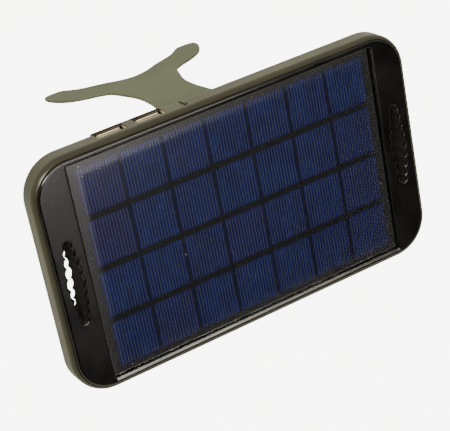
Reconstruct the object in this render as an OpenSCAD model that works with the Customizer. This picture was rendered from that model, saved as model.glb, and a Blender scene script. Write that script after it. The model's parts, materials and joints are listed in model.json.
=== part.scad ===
// Solar phone charger: a slim rounded case with a recessed solar panel, two USB outlets in its
// top side, a scalloped strap slot in each end and a fork-shaped stand hinged at its back.
// Each part is drawn in the case's own frame: x along the case, y up the panel, z from the
// back face (0) to the front. stance() then leans the case back on its open stand.

/* [Case] */
// Length of the case
case_w = 190; // [189:1:192]
// Height of the case, measured up the panel
case_h = 111.2; // [111:0.1:113]
// Thickness from the back face to the front plate
case_t = 12.6; // [12.6:0.1:13.6]
// Radius of the case's four corners
corner_r = 18; // [16:1:22]
// Rounding of the back edge
back_r = 2.5; // [1.5:0.1:2.6]
// Thickness of the rear housing's walls
wall_t = 1.7; // [1.5:0.1:1.9]

/* [Solar panel] */
// Length of the opening that shows the panel
window_w = 154.6; // [154:0.2:156]
// Height of the opening that shows the panel
window_h = 102; // [101:0.2:102.2]
// Depth of the panel's surface below the front plate
panel_recess = 2.1; // [1.6:0.1:2.4]
// Length of one cell
cell_w = 19.8; // [18:0.1:20]
// Height of one cell
cell_h = 21.5; // [20:0.1:22]
// Gap between neighbouring cells in a row
cell_gap_x = 1.2; // [0.6:0.1:1.4]
// Gap between rows of cells
cell_gap_y = 3; // [1:0.1:3.4]

/* [Strap slots] */
// Distance of each slot's centre line from the middle of the case
slot_x = 85; // [84.6:0.1:85.4]
// Radius of the slot's middle scallop
slot_mid_r = 3.9; // [3.6:0.1:4]
// Radius lost from one scallop to the next one outward
slot_step_r = 0.4; // [0.35:0.05:0.4]
// Number of scallops on each side of the middle one
slot_side_count = 4; // [3:1:4]

/* [Stand] */
// Distance that the feet reach behind the back face when the stand is open
stand_reach = 88.2; // [86:0.1:90]
// Thickness of the stand plate
stand_t = 1.5; // [1.2:0.1:1.5]
// Height above the case's middle of the open stand's upper face
stand_y = 45; // [44:0.1:45.2]
// Radius of the hinge pin
pin_r = 1; // [0.8:0.1:1.1]

/* [USB outlets] */
// Distance of the left outlet from the middle of the case
usb_left_x = 51.4; // [50:0.1:53]
// Distance of the right outlet from the middle of the case
usb_right_x = 32.5; // [32.4:0.1:34]
// Width of an outlet's metal shell
usb_w = 13.2; // [13:0.1:13.4]
// Height of an outlet's metal shell
usb_h = 5.8; // [5.6:0.1:5.8]
// Depth of an outlet's metal shell
usb_depth = 13.6; // [12:0.1:13.8]

/* [Power button] */
// Distance of the button from the middle of the case, towards the outlets
button_x = 15.3; // [14:0.1:16]
// Width of the button
button_w = 1.4; // [1.2:0.1:2]
// Length of the button across the case's thickness
button_h = 5.4; // [4:0.1:5.6]
// Distance that the button stands out of the case
button_proud = 0.6; // [0.5:0.1:0.8]

/* [Hidden] */
$fn = 64;
eps = 0.01;
half_w = case_w / 2;
half_h = case_h / 2;

// Front rim of the rear housing: an arc that starts on the side wall and stops at the groove
rim_r = 3.4;
rim_z = case_t - 3.7;
groove_in = 1.6;
rim_top = rim_z + sqrt(rim_r * rim_r - pow(rim_r - groove_in, 2));
floor_t = 1.8;

// Front plate
plate_in = wall_t + 0.2;
plate_t = 2;
plate_edge_r = 1;
plate_z = case_t - plate_t;
skirt_t = 1.2;
skirt_in = 0.2;
skirt_end = skirt_in + skirt_t;
align_skirt_z = plate_z - 2;

// Layers from the panel's surface down to the tray that carries it
film_t = 0.2;
cell_t = 0.2;
board_t = 1.1;
tape_t = 0.15;
tray_t = 0.9;
panel_gap = 0.5;
layer_gap = 0.05;
film_z = case_t - panel_recess - film_t;
cell_z = film_z - layer_gap - cell_t;
board_z = cell_z - board_t;
tape_z = board_z - tape_t;
tray_z = tape_z - tray_t;
tape_w = 6;
cell_cols = 7;
cell_rows = 4;
pitch_x = cell_w + cell_gap_x;
pitch_y = cell_h + cell_gap_y;

// Scallops of the strap slots
slot_arc_r = 24;
slot_arc_step = 12;
slot_taper = 0.03;
sleeve_t = 1.2;
sleeve_in = 0.05;
sleeve_top = plate_z - 0.1;

// Stand and hinge
stand_sunk = 0.2;
barrel_r = 2;
barrel_half = 19;
hinge_z = barrel_r + stand_sunk;
hinge_y = stand_y - barrel_r;
fit_gap = 0.05;
pocket_gap = 0.4;
stop_gap = 0.25;
ear_t = 4.2;
recess_gap = 0.6;
recess_z = stand_sunk + stand_t + 0.2;
tub_t = 1.3;
ear_wall = 1.5;
stop_wall = 1.8;
ear_roof = 1.2;
plate_len = stand_reach + hinge_z;
drawn_len = 90.4;

// Half outline of the stand: a chain of cubic curves, [sideways, distance from the hinge axis]
stand_curves = [
    [[19, 3], [17.5, 14], [12.3, 26], [12.3, 43.5]],
    [[12.3, 43.5], [12.3, 51], [15, 56], [16.5, 61.5]],
    [[16.5, 61.5], [17.8, 66.3], [20.5, 67.5], [26, 69.8]],
    [[26, 69.8], [33.5, 72.8], [37.5, 76], [40.2, 81.5]],
    [[40.2, 81.5], [41.6, 84.4], [42.4, 87.8], [41, 89.2]],
    [[41, 89.2], [39.8, 90.4], [37.5, 90.4], [35, 90.4]],
    [[35, 90.4], [31, 90.4], [30.5, 89], [28.2, 86.8]],
    [[28.2, 86.8], [24.5, 83.2], [19.5, 82.2], [15, 80.2]],
    [[15, 80.2], [9.5, 77.8], [6, 74.7], [0, 74.7]]
];
curve_steps = 6;
fork_len = stand_curves[len(stand_curves) - 1][3][1];

// Finger scoop between the prongs of the folded stand
scoop_r = 8;
scoop_y = hinge_y - plate_len * fork_len / drawn_len - 1;

// Electronics
pcb_t = 1;
pcb_z = tray_z - 0.1 - pcb_t;
pcb_x0 = -67;
pcb_x1 = 24;
pcb_y0 = 31;
pcb_y1 = half_h - wall_t - 1.3;
post_places = [[-63, 36], [-41.9, 34.5], [20.5, 36]];
post_r = 2;
post_pin_r = 0.9;
post_foot_z = 1;
usb_z = pcb_z - usb_h / 2;
usb_mouth_y = half_h - 0.3;
usb_sheet = 0.3;
usb_lip = 0.35;
usb_lip_len = 0.5;
usb_window_gap = 0.1;
usb_window_depth = 3;
usb_back_gap = 0.2;
usb_boss_left = 7.4;
usb_boss_right = 8.2;
tongue_t = 1.84;
tongue_w = 11.1;
tongue_len = 9.4;
tongue_base = 3.4;
tongue_back_gap = 0.5;
contact_places = [-3.5, -1, 1, 3.5];
contact_w = 1;
contact_t = 0.25;
contact_end = 1.6;
chip_side = 6;
chip_y = 32.4;
chip_h = 5;
chip_t = 1;
coil_places = [-51.5, -32.5];
coil_y = 36.4;
coil_r = 3.4;
coil_t = 2.9;
cap_places = [-24, -18.5, -13, -7.5];
cap_y = 33;
cap_w = 3.6;
cap_h = 2.2;
cap_t = 1.7;
diode_x = 8;
diode_y = 33;
diode_w = 5;
diode_h = 3.6;
diode_t = 2.2;

// Power button and the switch behind it
button_z = 4.2;
button_gap = 0.3;
button_travel = 0.4;
button_flange_t = 0.8;
button_flange_half = 2;
button_flange_z = 2.1;
button_flange_top = 6.4;
button_back_y = half_h - wall_t - button_gap;
switch_y = button_back_y - button_flange_t - button_travel - 0.1;
switch_half = 3;
switch_h = 2.7;
switch_t = 4.2;
plunger_r = 0.9;
plunger_len = 0.7;

// Battery
battery_w = 70;
battery_h = 76;
battery_t = 4;
battery_x = 37;
battery_y = -13;
battery_z = recess_z + tub_t + 0.3;
tab_y = battery_y + battery_h / 2;
tab_z = battery_z + 1;
tab_t = 0.15;
tab_w = 3;
tab_len = 2.5;
tab_places = [-10, -5, 5, 10];
guard_half = 13;
guard_t = 0.8;
pad_x = 62;
pad_y = 27;
pad_w = 14;
pad_h = 10;

// Leads
lead_x = 60;
lead_y = 40;
lead_z = 5.75;
wire_r = 0.45;
wire_sides = 8;
wire_z = pcb_z - wire_r - 0.05;
lead_notch_w = 8;
lead_notch_h = 3;
battery_lead_x = 4;

// Screws
screw_x = 86;
screw_y = 41;
screw_r = 1.25;
screw_head_r = 2.3;
screw_head_t = 1.2;
screw_len = 7;
screw_seat_z = 1.4;
screw_gap = 0.15;
screw_head_gap = 0.3;
screw_pad_z = 1;
screw_pad_top = screw_seat_z + 1.8;
cross_len = 2.6;
cross_w = 0.6;
cross_depth = 0.7;
boss_r = 3.2;
boss_z = screw_pad_top + 0.1;

// Lean of the case when its rounded bottom edge and the stand's feet are on the ground
foot_y = stand_y - stand_t;
lean_a = foot_y + half_h - back_r;
lean_b = stand_reach + back_r;
lean = atan2(lean_b, lean_a) - asin(back_r / norm([lean_a, lean_b]));
ground = (half_h - back_r) * sin(lean) - back_r * cos(lean) + back_r;
front_most = (half_h - rim_r) * cos(lean) + rim_z * sin(lean) + rim_r;
back_most = stand_y * cos(lean) + stand_reach * sin(lean);
shift_y = (front_most - back_most) / 2;

// ---------- Placing and shared shapes ----------

module stance() {
    translate([0, shift_y, ground]) rotate([lean, 0, 0]) children();
}

module round_rect(w, h, r) {
    union() {
        square([w - 2 * r, h], center = true);
        square([w, h - 2 * r], center = true);
        for (sx = [-1, 1], sy = [-1, 1])
            translate([sx * (w / 2 - r), sy * (h / 2 - r)]) circle(r);
    }
}

module slab(w, h, z0, z1) {
    translate([-w / 2, -h / 2, z0]) cube([w, h, z1 - z0]);
}

module block(x0, x1, y0, y1, z0, z1) {
    translate([x0, y0, z0]) cube([x1 - x0, y1 - y0, z1 - z0]);
}

// Solid rounded slab whose edge follows a 2D profile; the profile's x is 0 at the corner centres
module edge_slab(w, h, r, z0, z1) {
    cx = w / 2 - r;
    cy = h / 2 - r;
    translate([-cx, -cy, z0]) cube([2 * cx, 2 * cy, z1 - z0]);
    for (i = [0 : 3])
        rotate(90 * i)
            translate([i % 2 == 0 ? cx : cy, i % 2 == 0 ? cy : cx, 0])
                rotate_extrude(angle = 90) children();
    for (i = [0 : 3]) {
        run = i % 2 == 0 ? cy : cx;
        out = i % 2 == 0 ? cx : cy;
        rotate(90 * i)
            translate([out, run, 0])
                rotate([90, 0, 0]) linear_extrude(2 * run) children();
    }
}

// Points of a cubic curve, each moved sideways by grow along the curve's normal
function bezier(p, t) =
    pow(1 - t, 3) * p[0] + 3 * pow(1 - t, 2) * t * p[1]
    + 3 * (1 - t) * t * t * p[2] + pow(t, 3) * p[3];
function slope(p, t) =
    pow(1 - t, 2) * (p[1] - p[0]) + 2 * (1 - t) * t * (p[2] - p[1]) + t * t * (p[3] - p[2]);
function moved(p, t, grow) =
    let (d = slope(p, t))
    bezier(p, t) + grow * [d[1], -d[0]] / norm(d);
function half_outline(grow) = [
    for (c = stand_curves, k = [0 : curve_steps - 1]) moved(c, k / curve_steps, grow)
];
function mirrored(points) = [
    for (k = [len(points) - 1 : -1 : 0]) [-points[k][0], points[k][1]]
];

module stand_outline(grow) {
    side = half_outline(grow);
    root = [[barrel_half + grow, 0]];
    tip = [[0, fork_len + grow]];
    scale([1, plate_len / drawn_len])
        polygon(concat(root, side, tip, mirrored(side), mirrored(root)));
}

// Row of overlapping circles, largest in the middle
module slot_discs(grow, z0, z1) {
    translate([0, 0, z0])
        linear_extrude(z1 - z0)
            for (k = [-slot_side_count : slot_side_count])
                translate([0, slot_place(k)]) circle(slot_radius(k) + grow);
}

// Each scallop further out is smaller and closer to its neighbour
function slot_radius(k) = slot_mid_r - slot_step_r * abs(k) - slot_taper * k * k;
function slot_place(k) = slot_arc_r * sin(slot_arc_step * k);

// Insulated wire: an eight-sided tube swept along its route
function unit(v) = v / norm(v);
function ring_axis(points, k) =
    unit(unit(points[min(k + 1, len(points) - 1)] - points[k == len(points) - 1 ? k - 1 : k])
        + unit(points[max(k, 1)] - points[max(k, 1) - 1]));
module wire(points) {
    last = len(points) - 1;
    rings = [
        for (k = [0 : last])
            let (d = ring_axis(points, k), a = unit(cross(d, [0.3, 0.8, 0.5])), b = cross(d, a))
            for (i = [0 : wire_sides - 1])
                let (turn = 360 * i / wire_sides)
                points[k] + wire_r * (cos(turn) * a + sin(turn) * b)
    ];
    sides = [
        for (k = [0 : last - 1], i = [0 : wire_sides - 1])
            let (j = (i + 1) % wire_sides, here = k * wire_sides, next = here + wire_sides)
            each [[here + i, next + i, next + j], [here + i, next + j, here + j]]
    ];
    ends = [
        [for (i = [0 : wire_sides - 1]) i],
        [for (i = [wire_sides - 1 : -1 : 0]) last * wire_sides + i]
    ];
    polyhedron(rings, concat(sides, ends));
}

// ---------- Case ----------

module housing_profile() {
    union() {
        translate([0, back_r]) square([corner_r, rim_z - back_r]);
        square([corner_r - back_r, back_r + eps]);
        translate([corner_r - back_r, back_r])
            intersection() {
                circle(back_r);
                translate([0, -back_r]) square([back_r, back_r + eps]);
            }
        translate([0, rim_z - eps]) square([corner_r - rim_r, rim_top - rim_z + eps]);
        translate([corner_r - rim_r, rim_z])
            intersection() {
                circle(rim_r);
                translate([0, -eps]) square([rim_r, rim_top - rim_z + eps]);
            }
    }
}

module usb_boss() {
    block(-usb_left_x - usb_boss_left, -usb_right_x + usb_boss_right,
        half_h - back_r - wall_t, half_h, 0, back_r + 1);
}

module rear_housing() {
    color("#4a4a43") stance() difference() {
        union() {
            difference() {
                union() {
                    edge_slab(case_w, case_h, corner_r, 0, rim_top) housing_profile();
                    usb_boss();
                }
                translate([0, 0, floor_t])
                    linear_extrude(case_t)
                        round_rect(case_w - 2 * wall_t, case_h - 2 * wall_t, corner_r - wall_t);
            }
            translate([0, hinge_y, floor_t - eps])
                mirror([0, 1, 0])
                    linear_extrude(recess_z + tub_t - floor_t) stand_outline(recess_gap + tub_t);
            translate([0, scoop_y, floor_t - eps])
                cylinder(r = scoop_r + tub_t, h = recess_z + tub_t - floor_t + eps);
            block(-barrel_half - pocket_gap - ear_t, barrel_half + pocket_gap + ear_t,
                hinge_y - barrel_r - pocket_gap - ear_wall, stand_y + stop_gap + stop_wall,
                1, hinge_z + barrel_r + pocket_gap + ear_roof);
            for (s = [-1, 1]) {
                translate([s * slot_x, 0, 0]) slot_discs(sleeve_t, floor_t - eps, sleeve_top);
                for (t = [-1, 1])
                    translate([s * screw_x, t * screw_y, screw_pad_z])
                        cylinder(r = boss_r + pocket_gap, h = screw_pad_top - screw_pad_z);
            }
            board_posts();
        }
        translate([0, hinge_y, -1])
            mirror([0, 1, 0])
                linear_extrude(recess_z + 1) stand_outline(recess_gap);
        translate([0, scoop_y, -1]) cylinder(r = scoop_r, h = recess_z + 1);
        block(-barrel_half - pocket_gap, barrel_half + pocket_gap,
            hinge_y - barrel_r - pocket_gap, stand_y + stop_gap,
            -1, hinge_z + barrel_r + pocket_gap);
        translate([-half_w / 2, hinge_y, hinge_z])
            rotate([0, 90, 0]) cylinder(r = pin_r + fit_gap, h = half_w);
        for (s = [-1, 1]) {
            translate([s * slot_x, 0, 0]) slot_discs(-sleeve_in, -1, case_t);
            for (t = [-1, 1])
                translate([s * screw_x, t * screw_y, 0]) {
                    translate([0, 0, -1]) cylinder(r = screw_r + screw_gap, h = case_t);
                    translate([0, 0, -1])
                        cylinder(r = screw_head_r + screw_head_gap, h = screw_seat_z + 1);
                }
        }
        for (x = [-usb_left_x, -usb_right_x]) usb_opening(x);
        block(-button_x - button_w / 2 - button_gap, -button_x + button_w / 2 + button_gap,
            half_h - usb_window_depth, half_h + 1,
            button_z - button_h / 2 - button_gap, button_z + button_h / 2 + button_gap);
    }
}

// Window for an outlet's lip, and a shallow pocket in the floor for the shell behind it
module usb_opening(x) {
    w = usb_w / 2 + usb_window_gap;
    h = usb_h / 2 + usb_window_gap;
    block(x - w - usb_lip, x + w + usb_lip, half_h - usb_window_depth, half_h + 1,
        usb_z - h - usb_lip, usb_z + h + usb_lip);
    block(x - w, x + w, usb_mouth_y - usb_depth - usb_back_gap, half_h - usb_window_depth + eps,
        usb_z - h, usb_z);
}

// Posts that carry the main board, with pins that go through its holes
module board_posts() {
    for (p = post_places) {
        translate([p[0], p[1], post_foot_z]) cylinder(r = post_r, h = pcb_z - post_foot_z);
        translate([p[0], p[1], post_foot_z])
            cylinder(r = post_pin_r, h = pcb_z + pcb_t - post_foot_z - 0.1);
    }
}

module plate_profile() {
    r = corner_r - plate_in;
    union() {
        translate([0, plate_z]) square([r, plate_t - plate_edge_r]);
        translate([0, plate_z]) square([r - plate_edge_r, plate_t]);
        translate([r - plate_edge_r, case_t - plate_edge_r])
            intersection() {
                circle(plate_edge_r);
                square(plate_edge_r);
            }
    }
}

module front_frame() {
    plate_w = case_w - 2 * plate_in;
    plate_h = case_h - 2 * plate_in;
    plate_r = corner_r - plate_in;
    color("#3a3a36") stance() difference() {
        union() {
            edge_slab(plate_w, plate_h, plate_r, plate_z, case_t) plate_profile();
            slab(window_w + 2 * skirt_t, window_h + 2 * skirt_t, tray_z, plate_z + eps);
            translate([0, 0, align_skirt_z])
                linear_extrude(plate_z - align_skirt_z + eps)
                    difference() {
                        round_rect(plate_w - 2 * skirt_in, plate_h - 2 * skirt_in, plate_r - skirt_in);
                        round_rect(plate_w - 2 * skirt_end, plate_h - 2 * skirt_end,
                            plate_r - skirt_end);
                    }
            for (s = [-1, 1], t = [-1, 1])
                translate([s * screw_x, t * screw_y, boss_z])
                    cylinder(r = boss_r, h = plate_z - boss_z + eps);
        }
        slab(window_w, window_h, tape_z, case_t + 1);
        for (s = [-1, 1]) {
            translate([s * slot_x, 0, 0]) slot_discs(0, 0, case_t + 1);
            for (t = [-1, 1])
                translate([s * screw_x, t * screw_y, 0])
                    cylinder(r = screw_r + fit_gap, h = plate_z - 1);
        }
        block(lead_x - lead_notch_w / 2, lead_x + lead_notch_w / 2,
            lead_y - lead_notch_h / 2, lead_y + lead_notch_h / 2, 0, case_t);
    }
}

module housing_screws() {
    color("silver") stance()
        for (s = [-1, 1], t = [-1, 1])
            translate([s * screw_x, t * screw_y, screw_seat_z - screw_head_t]) difference() {
                union() {
                    cylinder(r = screw_head_r, h = screw_head_t);
                    cylinder(r = screw_r, h = screw_head_t + screw_len);
                }
                for (a = [0, 90])
                    rotate(a)
                        translate([-cross_len / 2, -cross_w / 2, -1])
                            cube([cross_len, cross_w, 1 + cross_depth]);
            }
}

// ---------- Stand ----------

module stand_plate() {
    color("#6e6e5c") stance() difference() {
        union() {
            translate([0, stand_y, hinge_z])
                rotate([-90, 0, 0]) mirror([0, 0, 1])
                    linear_extrude(stand_t) stand_outline(0);
            translate([-barrel_half, hinge_y, hinge_z])
                rotate([0, 90, 0]) cylinder(r = barrel_r, h = 2 * barrel_half);
        }
        translate([-barrel_half - 1, hinge_y, hinge_z])
            rotate([0, 90, 0]) cylinder(r = pin_r + fit_gap, h = 2 * barrel_half + 2);
    }
}

module hinge_pin() {
    half = barrel_half + pocket_gap + ear_t;
    color("silver") stance()
        translate([-half, hinge_y, hinge_z]) rotate([0, 90, 0]) cylinder(r = pin_r, h = 2 * half);
}

// ---------- Solar panel ----------

module panel_film() {
    color("#9aa4b8", 0.35) stance()
        slab(window_w - 2 * panel_gap, window_h - 2 * panel_gap, film_z, film_z + film_t);
}

module cell_row(row) {
    y = ((cell_rows - 1) / 2 - row) * pitch_y;
    color("#26346e") stance()
        for (col = [0 : cell_cols - 1])
            translate([(col - (cell_cols - 1) / 2) * pitch_x, y, 0])
                slab(cell_w, cell_h, cell_z, cell_z + cell_t);
}

module panel_board() {
    color("#1b1d1f") stance()
        slab(window_w - 2 * panel_gap, window_h - 2 * panel_gap, board_z, cell_z);
}

module panel_tape() {
    w = window_w - 4;
    h = window_h - 4;
    color("#d8d4c8") stance() difference() {
        slab(w, h, tape_z, board_z);
        slab(w - 2 * tape_w, h - 2 * tape_w, tape_z - 1, board_z + 1);
    }
}

module panel_lead(side) {
    x = lead_x + 2 * side;
    y = lead_y + 0.9 * side;
    low = lead_z;
    wire([
        [x, y, board_z - 0.02], [x, y, low + 1.6], [x - 0.3, y, low + 0.8], [x - 0.9, y, low + 0.2],
        [x - 1.8, y, low], [pcb_x1 + 5, y, low], [pcb_x1 + 3, y, low + 0.15],
        [pcb_x1 + 1, y, wire_z], [pcb_x1 - 2.5, y, wire_z]
    ]);
}

module panel_lead_red() {
    color("red") stance() panel_lead(1);
}

module panel_lead_black() {
    color("black") stance() panel_lead(-1);
}

// ---------- Battery ----------

module battery(side) {
    color("#b8bcc2") stance()
        translate([side * battery_x, battery_y, battery_z])
            linear_extrude(battery_t) round_rect(battery_w, battery_h, 2);
}

module battery_left() {
    battery(-1);
}

module battery_right() {
    battery(1);
}

module battery_pads() {
    color("#303030") stance()
        for (s = [-1, 1], t = [-1, 1])
            translate([s * pad_x, battery_y + t * pad_y, 0])
                slab(pad_w, pad_h, floor_t, battery_z);
}

module battery_tabs() {
    color("#c8c8c8") stance()
        for (x = tab_places)
            block(x - tab_w / 2, x + tab_w / 2, tab_y, tab_y + tab_len, tab_z, tab_z + tab_t);
}

module protection_board() {
    color("#1f6b3a") stance()
        block(-guard_half, guard_half, tab_y + 1, tab_y + 2 * tab_len,
            tab_z + tab_t, tab_z + tab_t + guard_t);
}

module battery_lead(x) {
    z = tab_z + tab_t + guard_t + wire_r + 0.02;
    wire([
        [x, tab_y + tab_len, z], [x, tab_y + 2 * tab_len, z],
        [x, pcb_y0 + 1, wire_z], [x, pcb_y0 + 4, wire_z]
    ]);
}

module battery_lead_red() {
    color("red") stance() battery_lead(battery_lead_x);
}

module battery_lead_black() {
    color("black") stance() battery_lead(-battery_lead_x);
}

// ---------- Electronics ----------

module main_board() {
    color("#1f6b3a") stance() difference() {
        block(pcb_x0, pcb_x1, pcb_y0, pcb_y1, pcb_z, pcb_z + pcb_t);
        for (p = post_places)
            translate([p[0], p[1], 0]) cylinder(r = post_pin_r + fit_gap, h = case_t);
    }
}

module usb_shell(x) {
    y0 = usb_mouth_y - usb_depth;
    w = usb_w / 2;
    h = usb_h / 2;
    color("#d9cfa4") stance() translate([x, 0, usb_z]) difference() {
        union() {
            block(-w, w, y0, usb_mouth_y, -h, h);
            block(-w - usb_lip, w + usb_lip, usb_mouth_y - usb_lip_len, usb_mouth_y,
                -h - usb_lip, h + usb_lip);
        }
        block(-w + usb_sheet, w - usb_sheet, y0 + usb_sheet, usb_mouth_y + 1,
            -h + usb_sheet, h - usb_sheet);
    }
}

module usb_shell_left() {
    usb_shell(-usb_left_x);
}

module usb_shell_right() {
    usb_shell(-usb_right_x);
}

module usb_tongue(x) {
    y0 = usb_mouth_y - usb_depth + usb_sheet;
    w = usb_w / 2 - usb_sheet;
    h = usb_h / 2 - usb_sheet;
    color("#efe7cf") stance() translate([x, 0, usb_z]) union() {
        block(-w, w, y0, y0 + tongue_base, -h, h);
        block(-tongue_w / 2, tongue_w / 2, y0, y0 + tongue_base + tongue_len,
            tongue_back_gap - h, tongue_back_gap + tongue_t - h);
    }
}

module usb_tongue_left() {
    usb_tongue(-usb_left_x);
}

module usb_tongue_right() {
    usb_tongue(-usb_right_x);
}

module usb_contacts(x) {
    y0 = usb_mouth_y - usb_depth + usb_sheet + tongue_base;
    z0 = usb_z - usb_h / 2 + usb_sheet + tongue_back_gap + tongue_t;
    color("gold") stance()
        for (k = contact_places)
            block(x + k - contact_w / 2, x + k + contact_w / 2,
                y0, y0 + tongue_len - contact_end, z0, z0 + contact_t);
}

module usb_contacts_left() {
    usb_contacts(-usb_left_x);
}

module usb_contacts_right() {
    usb_contacts(-usb_right_x);
}

module controller_chip() {
    color("#202020") stance()
        block(-chip_side / 2, chip_side / 2, chip_y, chip_y + chip_h, pcb_z - chip_t, pcb_z);
}

module boost_coils() {
    color("#3b3b3b") stance()
        for (x = coil_places)
            translate([x, coil_y, pcb_z - coil_t]) cylinder(r = coil_r, h = coil_t);
}

module capacitors() {
    color("#b08a4a") stance()
        for (x = cap_places)
            block(x - cap_w / 2, x + cap_w / 2, cap_y, cap_y + cap_h, pcb_z - cap_t, pcb_z);
}

module blocking_diode() {
    color("#202020") stance()
        block(diode_x, diode_x + diode_w, diode_y, diode_y + diode_h, pcb_z - diode_t, pcb_z);
}

module button_switch() {
    front_y = switch_y - plunger_len;
    color("#303030") stance() union() {
        block(-button_x - switch_half, -button_x + switch_half,
            front_y - switch_h, front_y, pcb_z - switch_t, pcb_z);
        translate([-button_x, front_y - eps, button_z])
            rotate([-90, 0, 0]) cylinder(r = plunger_r, h = plunger_len + eps);
    }
}

module power_button() {
    y1 = button_back_y;
    color("#4a4a43") stance() union() {
        block(-button_x - button_w / 2, -button_x + button_w / 2,
            y1 - eps, half_h + button_proud, button_z - button_h / 2, button_z + button_h / 2);
        block(-button_x - button_flange_half, -button_x + button_flange_half,
            y1 - button_flange_t, y1, button_flange_z, button_flange_top);
    }
}

rear_housing();
front_frame();
stand_plate();
hinge_pin();
panel_film();
cell_row(0);  // cell_row_1
cell_row(1);  // cell_row_2
cell_row(2);  // cell_row_3
cell_row(3);  // cell_row_4
panel_board();
panel_tape();
panel_lead_red();
panel_lead_black();
battery_left();
battery_right();
battery_pads();
battery_tabs();
protection_board();
battery_lead_red();
battery_lead_black();
main_board();
usb_shell_left();
usb_shell_right();
usb_tongue_left();
usb_tongue_right();
usb_contacts_left();
usb_contacts_right();
controller_chip();
boost_coils();
capacitors();
blocking_diode();
button_switch();
power_button();
housing_screws();
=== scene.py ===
import json
import math
import random

import bpy
from mathutils import Euler, Matrix, Vector
from mathutils.geometry import tessellate_polygon


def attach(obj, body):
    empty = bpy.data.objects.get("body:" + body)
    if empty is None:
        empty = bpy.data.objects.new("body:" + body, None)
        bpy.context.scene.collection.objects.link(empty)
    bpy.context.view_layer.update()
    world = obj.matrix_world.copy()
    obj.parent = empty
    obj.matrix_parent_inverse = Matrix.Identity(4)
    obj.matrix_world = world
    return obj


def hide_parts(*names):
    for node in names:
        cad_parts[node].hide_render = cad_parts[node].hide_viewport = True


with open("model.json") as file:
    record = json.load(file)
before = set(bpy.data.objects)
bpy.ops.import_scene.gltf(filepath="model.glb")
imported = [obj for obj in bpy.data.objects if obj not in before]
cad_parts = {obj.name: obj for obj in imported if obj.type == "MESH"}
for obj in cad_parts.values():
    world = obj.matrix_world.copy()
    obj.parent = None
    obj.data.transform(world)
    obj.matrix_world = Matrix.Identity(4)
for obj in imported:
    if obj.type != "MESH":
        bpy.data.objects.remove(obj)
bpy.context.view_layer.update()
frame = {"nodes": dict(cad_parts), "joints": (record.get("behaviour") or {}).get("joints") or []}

MM = 0.001

# Case and front plate, in mm
PLATE_IN = 1.9
PLATE_T = 2.0
PLATE_EDGE = 1.3
CORNER_R = 18.0
WINDOW_EDGE = 0.6
WINDOW_R = 0.5
SILL_W = 1.1
SILL_H = 0.56
PANEL_GAP = 0.5
SKIRT_T = 1.2
SUPPORT = 0.1

# Strap slots
SLOT_X = 85.0
SLOT_MID_R = 3.9
SLOT_STEP_R = 0.4
SLOT_TAPER = 0.03
SLOT_SIDE_COUNT = 4
SLOT_ARC_R = 24.0
SLOT_ARC_STEP = math.radians(12)
SLOT_EDGE = 0.7
# Painted shade: the walls inside the strap slots are painted near black, where shade falls
SLOT_SHADE_X = 5.2
SLOT_SHADE_Y = 21.0
SLOT_SHADE_Z = (0.4, 11.7)
SLOT_SHADE_TONE = (0.001, 0.001, 0.001)

# Solder spots: radius and height of each ring, from the board up
SOLDER_DOME = [(0.32, -0.01), (0.3, 0.05), (0.22, 0.12), (0.1, 0.16)]
SOLDER_SIDES = 12

# Clear cover of the panel, which rolls off towards its edges
COVER_ROLL = 6.5
COVER_DROP = 0.17
COVER_STEPS = 9
COVER_EDGE_INSET = 0.02
COVER_MIDDLE = 1.0
COVER_INNER_STEPS = 5
COVER_CORNER_R = 0.8
COVER_CORNER_GROWTH = 0.3
COVER_CORNER_SPARE = 0.2
COVER_EDGE_ROUGH = 0.22
COVER_MIRROR = 0.31

# Cells
FINGERS = 13
FINGER_PITCH = 1.48
FINGER_W = 0.46
FINGER_T = 0.02
FINGER_END = 0.3
CELL_CHAMFER = 0.25
TINT_SPREAD = 0.6
TINT_POWER = 1.5

# The redder cells at the upper left: added tint, distance past the panel's quarter, lowest y
UPPER_LEFT_TINT = 0.7
UPPER_LEFT_MARGIN = 20
UPPER_LEFT_LOW_Y = -1

# Stand: a chain of cubic curves, [sideways, distance from the hinge axis]
STAND_CURVES = [
    [(19, 3), (17.5, 14), (12.3, 26), (12.3, 43.5)],
    [(12.3, 43.5), (12.3, 51), (15, 56), (16.5, 61.5)],
    [(16.5, 61.5), (17.8, 66.3), (20.5, 67.5), (26, 69.8)],
    [(26, 69.8), (33.5, 72.8), (37.5, 76), (40.2, 81.5)],
    [(40.2, 81.5), (41.6, 84.4), (42.4, 87.8), (41, 89.2)],
    [(41, 89.2), (39.8, 90.4), (37.5, 90.4), (35, 90.4)],
    [(35, 90.4), (31, 90.4), (30.5, 89), (28.2, 86.8)],
    [(28.2, 86.8), (24.5, 83.2), (19.5, 82.2), (15, 80.2)],
    [(15, 80.2), (9.5, 77.8), (6, 74.7), (0, 74.7)],
]
STAND_STEPS = 12
STAND_ROOT = 19.0
STAND_T = 1.5
STAND_EDGE = 0.4
STAND_SUPPORT = 0.3
BARREL_R = 2.0
BARREL_CHAMFER = 0.25
BARREL_SIDES = 32
PIN_BORE = 1.05

# Outlet shells
OUTLET_SHEET = 0.3
OUTLET_LIP = 0.35
OUTLET_CORNER_R = 0.6
OUTLET_CORNER_LEAST = 0.25

# Flared mouth, outside then inside: growth, depth behind the mouth, edge mask
OUTLET_FLARE = [
    (0, 1.2, 0.0),
    (0.08, 0.75, 0.0),
    (OUTLET_LIP, 0.35, 1.0),
    (OUTLET_LIP, 0.12, 1.0),
    (OUTLET_LIP - 0.15, 0, 1.0),
    (0.02, 0.05, 1.0),
    (-OUTLET_SHEET + 0.08, 0.4, 1.0),
    (-OUTLET_SHEET, 0.9, 0.0),
]
# Painted shade: from this ring inward, the back half of the outlet shell's inside is painted near black
OUTLET_SHADE_FROM = 4

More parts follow.
